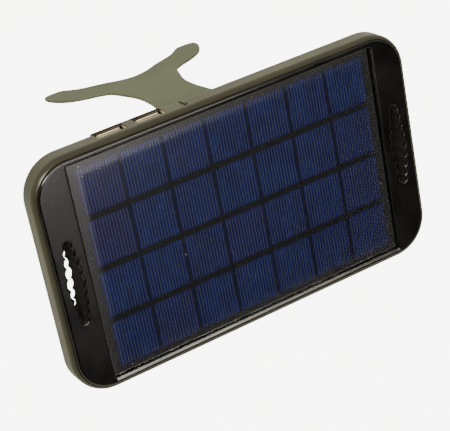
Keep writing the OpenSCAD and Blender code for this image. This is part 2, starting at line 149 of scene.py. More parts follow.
# Outlet tongues and the block behind them
TONGUE_W = 11.1
TONGUE_LIFT = 0.8
TONGUE_R = 0.2
TONGUE_ROOT = 0.3
TONGUE_TIP = (0.7, 0.5)
TONGUE_TAPER_X = 0.4
TONGUE_TAPER_Z = 0.3
BLOCK_INSET = 0.02
BLOCK_R = 0.3
BLOCK_CHAMFER = 0.15

# Power button: a rib that stands on a wider flange
RIB_W = 1.7
RIB_H = 5.7
RIB_Z = 4.2
RIB_R = 0.6
RIB_EDGE = 0.3
RIB_FOOT = 0.7
FLANGE_T = 0.8
FLANGE_R = 0.3
FOOT_MARGIN = 0.01

# ---------- Camera ----------

CAMERA_PLACE = (-0.2973, -0.1913, 0.6693)
CAMERA_TURN = (23.649, -15.253, -29.554)
CAMERA_LENS = 128.64


def make_camera():
    data = bpy.data.cameras.new("camera")
    data.lens = CAMERA_LENS
    data.sensor_width = 36
    camera = bpy.data.objects.new("camera", data)
    camera.location = CAMERA_PLACE
    camera.rotation_euler = Euler([math.radians(a) for a in CAMERA_TURN])
    bpy.context.scene.collection.objects.link(camera)
    bpy.context.scene.camera = camera


make_camera()

# ---------- The case's own frame ----------

button = next(j for j in frame["joints"] if j["name"] == "button_press")
lean = math.atan2(-button["axis"][2], -button["axis"][1])
turn = Matrix.Rotation(lean, 4, "X")
flat_turn = turn.inverted()


def turned_span(node, axis):
    values = [(flat_turn @ v.co)[axis] for v in frame["nodes"][node].data.vertices]
    return min(values), max(values)


case_low, case_high = turned_span("rear_housing", 1)
origin = turn @ Vector((0, (case_low + case_high) / 2, turned_span("rear_housing", 2)[0]))
to_row = Matrix.Translation(origin) @ turn @ Matrix.Scale(MM, 4)
to_case = to_row.inverted()


def case_points(node):
    return [to_case @ v.co for v in frame["nodes"][node].data.vertices]


def case_box(node):
    points = case_points(node)
    return [(min(p[k] for p in points), max(p[k] for p in points)) for k in range(3)]


def joined_spans(node, axis):
    """Low and high ends of a node's equal blocks along one axis."""
    levels = sorted({round(p[axis], 3) for p in case_points(node)})
    return list(zip(levels[0::2], levels[1::2]))


housing = case_box("rear_housing")
plate = case_box("front_frame")
film = case_box("panel_film")
half_w = housing[0][1]
half_h = (housing[1][1] - housing[1][0]) / 2
case_t = plate[2][1]
window_w = 2 * (film[0][1] + PANEL_GAP)
window_h = 2 * (film[1][1] + PANEL_GAP)

# ---------- Mesh work ----------


class Shell:
    """A mesh in the case's frame, in mm; its mask is 1 on rounded edges, and its tint is a colour blend."""

    def __init__(self):
        self.points = []
        self.masks = []
        self.tints = []
        self.faces = []
        self.tint = 0.0

    def ring(self, points, mask=0.0):
        start = len(self.points)
        self.points += [Vector(p) for p in points]
        self.masks += [mask] * len(points)
        self.tints += [self.tint] * len(points)
        return list(range(start, start + len(points)))

    def strip(self, a, b):
        """Quads between two closed rings of equal length."""
        count = len(a)
        for i in range(count):
            j = (i + 1) % count
            self.faces.append((a[i], a[j], b[j], b[i]))

    def skin(self, rings):
        for a, b in zip(rings, rings[1:]):
            self.strip(a, b)

    def cap(self, rings, normal):
        """A flat face bounded by the first ring, with the other rings as holes."""
        flat = [i for ring in rings for i in ring]
        normal = Vector(normal)
        for t in tessellate_polygon([[self.points[i] for i in ring] for ring in rings]):
            a, b, c = (self.points[flat[i]] for i in t)
            area = (b - a).cross(c - a)
            if area.length < 1e-9:
                continue
            face = tuple(flat[i] for i in t)
            self.faces.append(face if area.dot(normal) > 0 else face[::-1])

    def build(self, name, material, body, replaces=(), sharp=34):
        mesh = bpy.data.meshes.new(name)
        mesh.from_pydata([to_row @ p for p in self.points], [], self.faces)
        mesh.update()
        mesh.materials.append(material)
        for label, values in (("edge", self.masks), ("tint", self.tints)):
            mesh.attributes.new(label, "FLOAT", "POINT").data.foreach_set("value", values)
        mesh.shade_smooth()
        mesh.set_sharp_from_angle(angle=math.radians(sharp))
        piece = bpy.data.objects.new(name, mesh)
        bpy.context.scene.collection.objects.link(piece)
        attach(piece, body)
        if replaces:
            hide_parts(*replaces)
        return piece


def rounding(radius, steps):
    """(outset, drop) pairs of a rounded edge, from the flat face to the wall."""
    angles = [math.radians(90.0 * k / steps) for k in range(steps + 1)]
    return [(radius * (1 - math.sin(a)), radius * (1 - math.cos(a))) for a in angles]


def rounded_rect(w, h, r, z, steps=10):
    points = []
    for k, (sx, sy) in enumerate(((1, 1), (-1, 1), (-1, -1), (1, -1))):
        cx = sx * (w / 2 - r)
        cy = sy * (h / 2 - r)
        for i in range(steps + 1):
            a = math.radians(90 * (k + i / steps))
            points.append((cx + r * math.cos(a), cy + r * math.sin(a), z))
    return points


def inset_span(span, by):
    return span[0] + by, span[1] - by


def slot_outline(side, grow, z, steps=7):
    """Outline of overlapping circles that shrink outward from the middle one."""
    count = range(-SLOT_SIDE_COUNT, SLOT_SIDE_COUNT + 1)
    rows = []
    for k in count:
        radius = SLOT_MID_R - SLOT_STEP_R * abs(k) - SLOT_TAPER * k * k + grow
        rows.append((SLOT_ARC_R * math.sin(SLOT_ARC_STEP * k), radius))
    half = []
    for n, (y, r) in enumerate(rows):
        low = -math.pi / 2
        high = math.pi / 2
        if n > 0:
            y0, r0 = rows[n - 1]
            gap = y - y0
            low = -math.asin((gap * gap + r * r - r0 * r0) / (2 * gap * r))
        if n < len(rows) - 1:
            y1, r1 = rows[n + 1]
            gap = y1 - y
            high = math.asin((gap * gap + r * r - r1 * r1) / (2 * gap * r))
        last = n == len(rows) - 1
        for i in range(steps + (1 if last else 0)):
            a = low + (high - low) * i / steps
            half.append((r * math.cos(a), y + r * math.sin(a)))
    right = [(side * SLOT_X + x, y, z) for x, y in half]
    left = [(side * SLOT_X - x, y, z) for x, y in reversed(half[1:-1])]
    return right + left


def rect_block(shell, x, y, z, chamfer):
    """Block with its front edges chamfered; x, y and z are (low, high)."""
    cx, cy = sum(x) / 2, sum(y) / 2
    w, h = x[1] - x[0], y[1] - y[0]

    def level(inset, height, mask):
        points = rounded_rect(w - 2 * inset, h - 2 * inset, chamfer, height, 2)
        return shell.ring([(p[0] + cx, p[1] + cy, p[2]) for p in points], mask)

    top = level(chamfer / 2, z[1], 0.0)
    side = level(0, z[1] - chamfer / 4, 0.0)
    base = level(0, z[0], 0.0)
    shell.cap([top], (0, 0, 1))
    shell.skin([side, top])
    shell.skin([base, side])
    shell.cap([base], (0, 0, -1))


# ---------- Materials ----------


class Finish:
    """A procedural material built round one Principled shader."""

    def __init__(self, name, **values):
        self.mat = bpy.data.materials.new(name)
        self.mat.use_nodes = True
        self.tree = self.mat.node_tree
        self.shader = self.tree.nodes["Principled BSDF"]
        self.coord = self.node("ShaderNodeTexCoord").outputs["Object"]
        for key, value in values.items():
            self.shader.inputs[key.replace("_", " ")].default_value = value

    def node(self, kind, **settings):
        made = self.tree.nodes.new(kind)
        for key, value in settings.items():
            setattr(made, key, value)
        return made

    def link(self, out, into):
        self.tree.links.new(out, into)

    def feed(self, socket, value):
        if isinstance(value, bpy.types.NodeSocket):
            self.link(value, socket)
        else:
            socket.default_value = value

    def level(self):
        """Coordinates turned into the case's own directions."""
        made = self.node("ShaderNodeMapping", vector_type="POINT")
        made.inputs["Rotation"].default_value = (-lean, 0, 0)
        self.link(self.coord, made.inputs["Vector"])
        return made.outputs["Vector"]

    def cased(self):
        """Coordinates in the case's own frame, in mm."""
        made = self.node("ShaderNodeMapping", vector_type="POINT")
        made.inputs["Rotation"].default_value = (-lean, 0, 0)
        made.inputs["Scale"].default_value = (1 / MM, 1 / MM, 1 / MM)
        made.inputs["Location"].default_value = to_case.translation
        self.link(self.coord, made.inputs["Vector"])
        split = self.node("ShaderNodeSeparateXYZ")
        self.link(made.outputs["Vector"], split.inputs["Vector"])
        return split.outputs

    def painted_slot_shade(self):
        """1 on the walls inside the two strap slots, which the plastic paints near black as painted shade.
        """
        x, y, z = self.cased()
        sideways = self.math("ABSOLUTE", x, 0)
        across = self.math("ABSOLUTE", self.math("SUBTRACT", sideways, SLOT_X), 0)
        inside = self.math("LESS_THAN", across, SLOT_SHADE_X)
        along = self.math("LESS_THAN", self.math("ABSOLUTE", y, 0), SLOT_SHADE_Y)
        deep = self.math("GREATER_THAN", z, SLOT_SHADE_Z[0])
        low = self.math("LESS_THAN", z, SLOT_SHADE_Z[1])
        around = self.math("MULTIPLY", inside, along)
        return self.math("MULTIPLY", around, self.math("MULTIPLY", deep, low))

    def stretched(self, vector, scale):
        made = self.node("ShaderNodeMapping", vector_type="POINT")
        made.inputs["Scale"].default_value = scale
        self.link(vector, made.inputs["Vector"])
        return made.outputs["Vector"]

    def noise(self, scale, detail=2.0, rough=0.5, vector=None):
        made = self.node("ShaderNodeTexNoise")
        self.link(vector or self.coord, made.inputs["Vector"])
        made.inputs["Scale"].default_value = scale
        made.inputs["Detail"].default_value = detail
        made.inputs["Roughness"].default_value = rough
        return made.outputs["Fac"]

    def span(self, value, low, high, out_low=0.0, out_high=1.0):
        made = self.node("ShaderNodeMapRange")
        self.feed(made.inputs["Value"], value)
        made.inputs["From Min"].default_value = low
        made.inputs["From Max"].default_value = high
        made.inputs["To Min"].default_value = out_low
        made.inputs["To Max"].default_value = out_high
        return made.outputs["Result"]

    def math(self, operation, a, b):
        made = self.node("ShaderNodeMath", operation=operation)
        self.feed(made.inputs[0], a)
        self.feed(made.inputs[1], b)
        return made.outputs[0]

    def blend(self, fac, a, b):
        made = self.node("ShaderNodeMix", data_type="RGBA")
        self.feed(made.inputs["Factor"], fac)
        self.feed(made.inputs["A"], (*a, 1.0) if isinstance(a, tuple) else a)
        self.feed(made.inputs["B"], (*b, 1.0) if isinstance(b, tuple) else b)
        return made.outputs["Result"]

    def attribute(self, name):
        return self.node("ShaderNodeAttribute", attribute_name=name).outputs["Fac"]

    def bump(self, height, depth, strength):
        made = self.node("ShaderNodeBump")
        made.inputs["Strength"].default_value = strength
        made.inputs["Distance"].default_value = depth
        self.link(height, made.inputs["Height"])
        return made.outputs["Normal"]

    def use(self, socket, value):
        self.feed(self.shader.inputs[socket], value)


def plastic(
        name, dark, light, rough, grain=0.012, wear=(0.09, 0.085, 0.075), slots=False, **values):
    """Moulded plastic with a fine spark-eroded grain, slow tone changes and polished edges; with slots set,
    painted shade turns the strap-slot walls near black.
    """
    f = Finish(name, **values)
    tone = f.blend(f.span(f.noise(34, 3), 0.35, 0.65), dark, light)
    speck = f.span(f.noise(1900, 2), 0.62, 0.78)
    tone = f.blend(f.math("MULTIPLY", speck, 0.18), tone, wear)
    rub = f.math("MULTIPLY", f.attribute("edge"), f.span(f.noise(90, 4, 0.7), 0.42, 0.72))
    tone = f.blend(f.math("MULTIPLY", rub, 0.22), tone, wear)
    gloss = f.span(f.noise(55, 4, 0.6), 0.3, 0.7, rough - 0.05, rough + 0.06)
    gloss = f.math("SUBTRACT", gloss, f.math("MULTIPLY", f.attribute("edge"), 0.1))
    if slots:
        # Painted shade inside the strap slots: near-black colour and full roughness
        shade = f.painted_slot_shade()
        tone = f.blend(shade, tone, SLOT_SHADE_TONE)
        gloss = f.math("MAXIMUM", gloss, shade)
    f.use("Base Color", tone)
    f.use("Roughness", gloss)
    f.use("Normal", f.bump(f.noise(2600, 2), grain * MM, 0.6))
    return f.mat


def metal(name, dark, light, rough, brushed=(1, 1, 1), painted_shade=None):
    """Drawn or plated metal with fine lines and a slightly uneven tone, with painted shade blended in by
    the tint attribute when given.
    """
    f = Finish(name, Metallic=1.0)
    lines = f.noise(900, 3, 0.6, f.stretched(f.level(), brushed))
    tone = f.blend(f.span(f.noise(160, 4), 0.3, 0.7), dark, light)
    if painted_shade:
        tone = f.blend(f.attribute("tint"), tone, painted_shade)
    f.use("Base Color", tone)
    f.use("Roughness", f.span(lines, 0.25, 0.75, rough - 0.07, rough + 0.1))
    f.use("Normal", f.bump(lines, 0.004 * MM, 0.5))
    return f.mat


def speckled(name, dark, light, scale, rough, depth, painted_line_shade=None, **values):
    """A plain surface with its own grain, for the sockets' plastic and the parts inside the case, with
    painted shade blended in by the tint attribute when given.
    """
    f = Finish(name, **values)
    grain = f.noise(scale, 4, 0.6)
    tone = f.blend(f.span(grain, 0.3, 0.7), dark, light)
    if painted_line_shade:
        tone = f.blend(f.attribute("tint"), tone, painted_line_shade)
    f.use("Base Color", tone)
    f.use("Roughness", f.span(f.noise(scale / 4, 2), 0.3, 0.7, rough - 0.06, rough + 0.06))
    f.use("Normal", f.bump(grain, depth * MM, 0.6))
    return f.mat


def cell_finish():
    """Blue silicon: deep crystals, a tone of its own for each cell, and fine sawing marks."""
    f = Finish("cell_silicon")
    level = f.level()
    crystal = f.node("ShaderNodeTexVoronoi", feature="F1")
    f.link(f.stretched(level, (1, 0.6, 1)), crystal.inputs["Vector"])
    crystal.inputs["Scale"].default_value = 260
    grey = f.node("ShaderNodeRGBToBW")
    f.link(crystal.outputs["Color"], grey.inputs["Color"])
    dark = (0.0016, 0.0035, 0.040)
    light = (0.0026, 0.0066, 0.064)
    tone = f.blend(f.span(grey.outputs["Val"], 0.2, 0.8), dark, light)
    tone = f.blend(f.math("MULTIPLY", f.attribute("tint"), 0.55), tone, (0.007, 0.0045, 0.038))
    f.shader.inputs["Specular IOR Level"].default_value = 0.08
    f.use("Base Color", tone)
    f.use("Roughness", f.span(f.noise(140, 3), 0.3, 0.7, 0.34, 0.46))
    marks = f.noise(1500, 2, 0.5, f.stretched(level, (6, 1, 1)))
    f.use("Normal", f.bump(marks, 0.004 * MM, 0.4))
    return f.mat


def finger_finish():
    """Screen-printed silver lines, dulled under the film."""
    f = Finish("cell_fingers", Metallic=0.0)
    grain = f.noise(2200, 3, 0.6)
    tone = f.blend(f.span(grain, 0.3, 0.7), (0.018, 0.024, 0.034), (0.040, 0.049, 0.060))
    tone = f.blend(f.math("MULTIPLY", f.attribute("tint"), 0.5), tone, (0.042, 0.035, 0.044))
    f.shader.inputs["Specular IOR Level"].default_value = 0.12
    f.use("Base Color", tone)
    f.use("Roughness", f.span(grain, 0.3, 0.7, 0.42, 0.55))
    f.use("Normal", f.bump(grain, 0.004 * MM, 0.5))
    return f.mat


def board_finish():
    """Dark backing board with the faint weave of its glass cloth."""
    f = Finish("panel_backing")
    level = f.level()
    warp = f.noise(700, 2, 0.5, f.stretched(level, (5, 1, 1)))
    weft = f.noise(700, 2, 0.5, f.stretched(level, (1, 5, 1)))
    weave = f.math("MULTIPLY", warp, weft)
    dark = (0.0022, 0.0026, 0.0032)
    light = (0.0040, 0.0044, 0.0052)
    f.use("Base Color", f.blend(f.span(weave, 0.15, 0.4), dark, light))
    f.use("Roughness", f.span(f.noise(200, 3), 0.3, 0.7, 0.5, 0.6))
    f.shader.inputs["Specular IOR Level"].default_value = 0.15
    f.use("Normal", f.bump(weave, 0.002 * MM, 0.3))
    return f.mat


def film_finish():
    """Clear resin cover: a mirror that strengthens at a slant, over a see-through layer."""
    f = Finish("clear_cover", Metallic=1.0)
    ripple = f.noise(300, 3)
    f.use("Base Color", f.blend(ripple, (0.93, 0.94, 0.97), (1.0, 1.0, 1.0)))
    gloss = f.span(ripple, 0.3, 0.7, 0.09, 0.11)
    edge_gloss = f.math("MULTIPLY", f.attribute("edge"), COVER_EDGE_ROUGH)
    f.use("Roughness", f.math("ADD", gloss, edge_gloss))
    f.use("Normal", f.bump(f.noise(40, 1), 0.001 * MM, 0.1))
    slant = f.node("ShaderNodeLayerWeight")
    slant.inputs["Blend"].default_value = COVER_MIRROR
    clear = f.node("ShaderNodeBsdfTransparent")
    mix = f.node("ShaderNodeMixShader")
    f.link(slant.outputs["Fresnel"], mix.inputs["Fac"])
    f.link(clear.outputs["BSDF"], mix.inputs[1])
    f.link(f.shader.outputs["BSDF"], mix.inputs[2])
    f.link(mix.outputs["Shader"], f.tree.nodes["Material Output"].inputs["Surface"])
    return f.mat


case_plastic = plastic(
    "case_plastic", (0.014, 0.0135, 0.008), (0.020, 0.019, 0.011), 0.33, slots=True,
    Specular_IOR_Level=0.34, Specular_Tint=(1.0, 0.96, 0.84, 1.0))
bezel_plastic = plastic(
    "bezel_plastic", (0.0006, 0.0006, 0.0005), (0.0011, 0.0011, 0.0009), 0.27, 0.012,
    (0.02, 0.019, 0.016), slots=True, Specular_IOR_Level=0.4)
stand_plastic = plastic(
    "stand_plastic", (0.056, 0.063, 0.037), (0.067, 0.075, 0.044), 0.5, 0.016,
    Specular_IOR_Level=0.25)
cell_mat = cell_finish()
finger_mat = finger_finish()
# Painted shade: the near-black colour for the back half of the sockets' inside
socket_metal = metal(
    "socket_metal", (0.62, 0.53, 0.36), (0.85, 0.75, 0.54), 0.3, (1, 8, 1),
    painted_shade=(0.02, 0.016, 0.01))
# Painted shade: the brown for the band along the outlet tongue's tip
socket_plastic = speckled(
    "socket_plastic", (0.66, 0.58, 0.40), (0.76, 0.68, 0.50), 900, 0.45, 0.006,
    painted_line_shade=(0.09, 0.05, 0.02))
steel = metal("steel", (0.42, 0.42, 0.41), (0.58, 0.58, 0.56), 0.34)
solder = metal("solder", (0.2, 0.2, 0.17), (0.34, 0.33, 0.28), 0.42)

# ---------- Front frame ----------


def front_plate():
    shell = Shell()
    w = 2 * (half_w - PLATE_IN)
    h = 2 * (half_h - PLATE_IN)
    r = CORNER_R - PLATE_IN
    low = case_t - PLATE_T
    window_floor = plate[2][0]

    def outer(inset, z, mask=0.0):
        return shell.ring(rounded_rect(w - 2 * inset, h - 2 * inset, r - inset, z, 20), mask)

    def window(grow, z, mask=0.0, radius=WINDOW_R):
        return shell.ring(
            rounded_rect(window_w + 2 * grow, window_h + 2 * grow, radius + grow, z, 5), mask)

    def sill(share, grow, drop):
        """Window ring whose lower side follows a flat slope instead of the rounded edge."""
        outline = rounded_rect(window_w + 2 * grow, window_h + 2 * grow, WINDOW_R + grow, 0, 5)
        slope_y = SILL_W * (1 - share) - grow
        slope_z = case_t - SILL_H * share
        points = [
            (x, y, case_t - drop) if y > 0 else (x, y - slope_y, slope_z)
            for x, y, _ in outline
        ]
        return shell.ring(points, 1.0)

    def slot(side, grow, z, mask=0.0):
        return shell.ring(slot_outline(side, grow, z), mask)

    edge = rounding(PLATE_EDGE, 7)
    rim = [outer(PLATE_EDGE + SUPPORT, case_t)]
    rim += [outer(inset, case_t - drop, 1.0) for inset, drop in edge]
    rim += [outer(0, case_t - PLATE_EDGE - SUPPORT), outer(0, low)]
    shell.skin(rim[::-1])

    edge = rounding(WINDOW_EDGE, 5)
    frame_rings = [window(SILL_W + SUPPORT, case_t)]
    frame_rings += [sill(k / (len(edge) - 1), *pair) for k, pair in enumerate(edge)]
    frame_rings += [window(0, case_t - WINDOW_EDGE - 0.2), window(0, window_floor)]
    frame_rings += [window(SKIRT_T, window_floor), window(SKIRT_T, low)]
    shell.skin(frame_rings)

    tops = [rim[0], frame_rings[0]]
    bottoms = [rim[-1], frame_rings[-1]]
    edge = rounding(SLOT_EDGE, 5)
    for side in (-1, 1):
        rings = [slot(side, SLOT_EDGE + SUPPORT, case_t)]
        rings += [slot(side, grow, case_t - drop, 1.0) for grow, drop in edge]
        rings += [slot(side, 0, low)]
        shell.skin(rings)
        tops.append(rings[0])
        bottoms.append(rings[-1])
    shell.cap(tops, (0, 0, 1))
    shell.cap(bottoms, (0, 0, -1))
    shell.build("front_plate", bezel_plastic, "case", ["front_frame"])


# ---------- Solar panel ----------


def cell_rows():
    rng = random.Random(7)
    for row in range(1, 5):
        node = f"cell_row_{row}"
        y, z = case_box(node)[1:]
        cells = Shell()
        lines = Shell()
        for x in joined_spans(node, 0):
            leftmost = x[0] < film[0][0] / 2 - UPPER_LEFT_MARGIN
            upper_left_tint = UPPER_LEFT_TINT if leftmost and y[0] > UPPER_LEFT_LOW_Y else 0.0
            tint = min(1.0, TINT_SPREAD * rng.random() ** TINT_POWER + upper_left_tint)
            cells.tint = tint
            lines.tint = tint
            rect_block(cells, x, y, z, CELL_CHAMFER)
            middle = sum(x) / 2
            for k in range(FINGERS):
                at = middle + (k - (FINGERS - 1) / 2) * FINGER_PITCH
                finger_x = (at - FINGER_W / 2, at + FINGER_W / 2)
                finger_y = (y[0] + FINGER_END, y[1] - FINGER_END)
                finger_z = (z[1] - FINGER_T / 2, z[1] + FINGER_T)
                rect_block(lines, finger_x, finger_y, finger_z, FINGER_W / 4)
        piece = cells.build(f"cells_{row}", cell_mat, "case", [node], 12)
        grid = lines.build(f"cell_lines_{row}", finger_mat, "case", (), 12)
        grid.parent = piece
        grid.matrix_parent_inverse = piece.matrix_world.inverted()


def solder_spots():
    """Four small domes of solder on the board, in the gaps round the cells."""
    board_z = case_box("panel_board")[2][1]
    columns = joined_spans("cell_row_1", 0)
    rows = sorted(case_box(f"cell_row_{row}")[1] for row in range(1, 5))
    # Each place is an offset from the cells next to it
    places = [
        (columns[0][0] + 1.9, rows[3][1] + 0.7),
        ((columns[1][1] + columns[2][0]) / 2, rows[1][0] + 13.5),
        (columns[0][0] + 5.3, rows[0][0] - 1.3),
        (columns[6][1] + 0.9, rows[1][0] + 7.0),
    ]
    angles = [2 * math.pi * k / SOLDER_SIDES for k in range(SOLDER_SIDES)]
    shell = Shell()
    for x, y in places:
        rings = []
        for radius, height in SOLDER_DOME:
            z = board_z + height
            points = [(x + radius * math.cos(a), y + radius * math.sin(a), z) for a in angles]
            rings.append(shell.ring(points))
        shell.skin(rings)
        shell.cap([rings[0]], (0, 0, -1))
        shell.cap([rings[-1]], (0, 0, 1))
    shell.build("solder_spots", solder, "case")


def cover():
    x, y, z = film
    w = x[1] - x[0]
    h = y[1] - y[0]
    shell = Shell()

    def ring(inset, height, mask=0.0):
        wanted = COVER_CORNER_R + COVER_CORNER_GROWTH * inset
        radius = min(wanted, h / 2 - inset - COVER_CORNER_SPARE)
        return shell.ring(rounded_rect(w - 2 * inset, h - 2 * inset, radius, height, 6), mask)

    middle = h / 2 - COVER_MIDDLE
    steps = range(1, COVER_INNER_STEPS + 1)
    inner = [COVER_ROLL + (middle - COVER_ROLL) * k / COVER_INNER_STEPS for k in steps]
    rings = [ring(inset, z[0]) for inset in reversed([COVER_ROLL, *inner])]
    rings += [ring(0, z[0]), ring(0, z[1] - COVER_DROP)]
    for k in range(COVER_STEPS + 1):
        share = k / COVER_STEPS
        drop = COVER_DROP * (1 - share) ** 2
        rings.append(ring(COVER_EDGE_INSET + COVER_ROLL * share, z[1] - drop, 1 - share ** 3))
    rings += [ring(inset, z[1]) for inset in inner]
    shell.skin(rings)
    shell.cap([rings[-1]], (0, 0, 1))
    shell.cap([rings[0]], (0, 0, -1))
    shell.build("panel_cover", film_finish(), "case", ["panel_film"], 60)


# ---------- Stand ----------


def stand_outline(grow):
    """Closed outline of the stand, right side first, as (sideways, distance) pairs."""
    side = []
    for p in STAND_CURVES:
        a, b, c, d = (Vector(q) for q in p)
        for k in range(STAND_STEPS):
            t = k / STAND_STEPS
            s = 1 - t
            point = s ** 3 * a + 3 * s * s * t * b + 3 * s * t * t * c + t ** 3 * d
            way = s * s * (b - a) + 2 * s * t * (c - b) + t * t * (d - c)
            way.normalize()
            side.append(point + grow * Vector((way.y, -way.x)))
    root = Vector((STAND_ROOT + grow, 0))
    tip = Vector((0, STAND_CURVES[-1][3][1] + grow))
    half = [root, *side]
    return half + [tip] + [Vector((-p.x, p.y)) for p in reversed(half)]


def stand():
    box = case_box("stand_plate")
    top = box[1][1]
    hinge_z = box[2][1] - BARREL_R
    hinge_y = top - BARREL_R
    reach = (hinge_z - box[2][0]) / max(p[3][1] for p in STAND_CURVES)
    shell = Shell()

    def outline(inset, y, mask=0.0):
        flat = stand_outline(-inset)
        return shell.ring([(p.x, y, hinge_z - p.y * reach) for p in flat], mask)

    edge = rounding(STAND_EDGE, 5)
    rings = [outline(STAND_EDGE + STAND_SUPPORT, top)]
    rings += [outline(inset, top - drop, 1.0) for inset, drop in edge]
    rings += [outline(inset, top - STAND_T + drop, 1.0) for inset, drop in edge[::-1]]
    rings += [outline(STAND_EDGE + STAND_SUPPORT, top - STAND_T)]
    shell.skin(rings)
    shell.cap([rings[0]], (0, 1, 0))
    shell.cap([rings[-1]], (0, -1, 0))

    def circle(x, r, mask=0.0):
        angles = [2 * math.pi * k / BARREL_SIDES for k in range(BARREL_SIDES)]
        return shell.ring(
            [(x, hinge_y + r * math.cos(a), hinge_z + r * math.sin(a)) for a in angles], mask)

    end = box[0][1] if box[0][1] < STAND_ROOT + 1 else STAND_ROOT
    chamfer = BARREL_CHAMFER
    barrel = [
        circle(-end, PIN_BORE), circle(-end, BARREL_R - chamfer),
        circle(-end + chamfer, BARREL_R, 1.0), circle(-end + 2 * chamfer, BARREL_R),
        circle(end - 2 * chamfer, BARREL_R), circle(end - chamfer, BARREL_R, 1.0),
        circle(end, BARREL_R - chamfer), circle(end, PIN_BORE),
    ]
    shell.skin(barrel)
    shell.strip(barrel[-1], barrel[0])
    shell.build("stand_fork", stand_plastic, "stand", ["stand_plate"])


# ---------- USB outlets ----------


def outlet_shell(side):
    box = case_box(f"usb_shell_{side}")
    cx = sum(box[0]) / 2
    cz = sum(box[2]) / 2
    back, mouth = box[1]
    w = box[0][1] - box[0][0] - 2 * OUTLET_LIP
    h = box[2][1] - box[2][0] - 2 * OUTLET_LIP
    shell = Shell()

    def ring(grow, y, mask=0.0):
        radius = max(OUTLET_CORNER_R + grow, OUTLET_CORNER_LEAST)
        flat = rounded_rect(w + 2 * grow, h + 2 * grow, radius, 0, 4)
        return shell.ring([(cx + p[0], y, cz + p[1]) for p in flat], mask)

    rings = [ring(0, back)]
    rings += [ring(grow, mouth - depth, mask) for grow, depth, mask in OUTLET_FLARE]
    rings += [ring(-OUTLET_SHEET, back + OUTLET_SHEET)]
    # Painted shade on the back half of the shell's mouth and inside
    for spot in sum(rings[OUTLET_SHADE_FROM:], []):
        shell.tints[spot] = 1.0 if shell.points[spot].z < cz else 0.0
    shell.skin(rings[::-1])
    shell.cap([rings[0]], (0, -1, 0))
    shell.cap([rings[-1]], (0, 1, 0))
    shell.build(f"outlet_shell_{side}", socket_metal, "case", [f"usb_shell_{side}"])


def outlet_tongue(side):
    box = case_box(f"usb_tongue_{side}")
    contacts = case_box(f"usb_contacts_{side}")
    cx = sum(case_box(f"usb_shell_{side}")[0]) / 2
    back, tip = box[1]
    front = contacts[1][0]
    bottom = box[2][0] + TONGUE_LIFT
    top = contacts[2][0]
    base = Shell()

    def slab(x, z, y, radius):
        flat = rounded_rect(x[1] - x[0], z[1] - z[0], radius, 0, 3)
        mx = sum(x) / 2
        mz = sum(z) / 2
        return base.ring([(mx + p[0], y, mz + p[1]) for p in flat])

    block_x = inset_span(box[0], BLOCK_INSET)
    block_z = inset_span(box[2], BLOCK_INSET)
    face_x = inset_span(block_x, BLOCK_CHAMFER)
    face_z = inset_span(block_z, BLOCK_CHAMFER)
    a = slab(block_x, block_z, back, BLOCK_R)
    b = slab(block_x, block_z, front - BLOCK_CHAMFER, BLOCK_R)
    c = slab(face_x, face_z, front, BLOCK_R)
    base.skin([c, b, a])
    base.cap([a], (0, -1, 0))
    base.cap([c], (0, 1, 0))
    x = (cx - TONGUE_W / 2, cx + TONGUE_W / 2)
    z = (bottom, top)
    end_x = inset_span(x, TONGUE_TAPER_X)
    end_z = inset_span(z, TONGUE_TAPER_Z)
    d = slab(x, z, front - TONGUE_ROOT, TONGUE_R)
    e = slab(x, z, tip - TONGUE_TIP[0], TONGUE_R)
    g = slab(x, z, tip - TONGUE_TIP[1], TONGUE_R)
    k = slab(end_x, end_z, tip, TONGUE_R)
    end = slab(end_x, end_z, tip, TONGUE_R)
    # Painted shade: a brown band on the front-facing half of the tongue's tip
    for spot in g + k:
        base.tints[spot] = 1.0 if base.points[spot].z > (bottom + top) / 2 else 0.0
    base.skin([k, g, e, d])
    base.cap([d], (0, -1, 0))
    base.cap([end], (0, 1, 0))
    base.build(f"outlet_tongue_{side}", socket_plastic, "case", [f"usb_tongue_{side}"])


# ---------- Power button ----------


def power_button():
    box = case_box("power_button")
    low, tip = box[1]
    foot = [p.z for p in case_points("power_button") if p.y < low + FOOT_MARGIN]
    cx = sum(box[0]) / 2
    shell = Shell()

    def ring(w, h, radius, y, mask=0.0, cz=RIB_Z):
        flat = rounded_rect(w, h, radius, 0, 5)
        return shell.ring([(cx + p[0], y, cz + p[1]) for p in flat], mask)

    rings = [ring(RIB_W - 2 * RIB_EDGE, RIB_H - 2 * RIB_EDGE, RIB_R - RIB_EDGE, tip)]
    for inset, drop in rounding(RIB_EDGE, 4):
        rings.append(ring(RIB_W - 2 * inset, RIB_H - 2 * inset, RIB_R - inset, tip - drop, 1.0))
    rings.append(ring(RIB_W, RIB_H, RIB_R, low + RIB_FOOT))
    shell.skin(rings)
    shell.cap([rings[0]], (0, 1, 0))
    shell.cap([rings[-1]], (0, -1, 0))
    flange_w = box[0][1] - box[0][0]
    flange_h = max(foot) - min(foot)
    flange_z = (min(foot) + max(foot)) / 2
    a = ring(flange_w, flange_h, FLANGE_R, low, 0.0, flange_z)
    b = ring(flange_w, flange_h, FLANGE_R, low + FLANGE_T, 0.0, flange_z)
    shell.skin([b, a])
    shell.cap([a], (0, -1, 0))
    shell.cap([b], (0, 1, 0))
    shell.build("button_rib", case_plastic, "button", ["power_button"])


front_plate()
cell_rows()
solder_spots()
cover()
stand()
for side in ("left", "right"):
    outlet_shell(side)
    outlet_tongue(side)
power_button()

# ---------- CAD parts that stay ----------

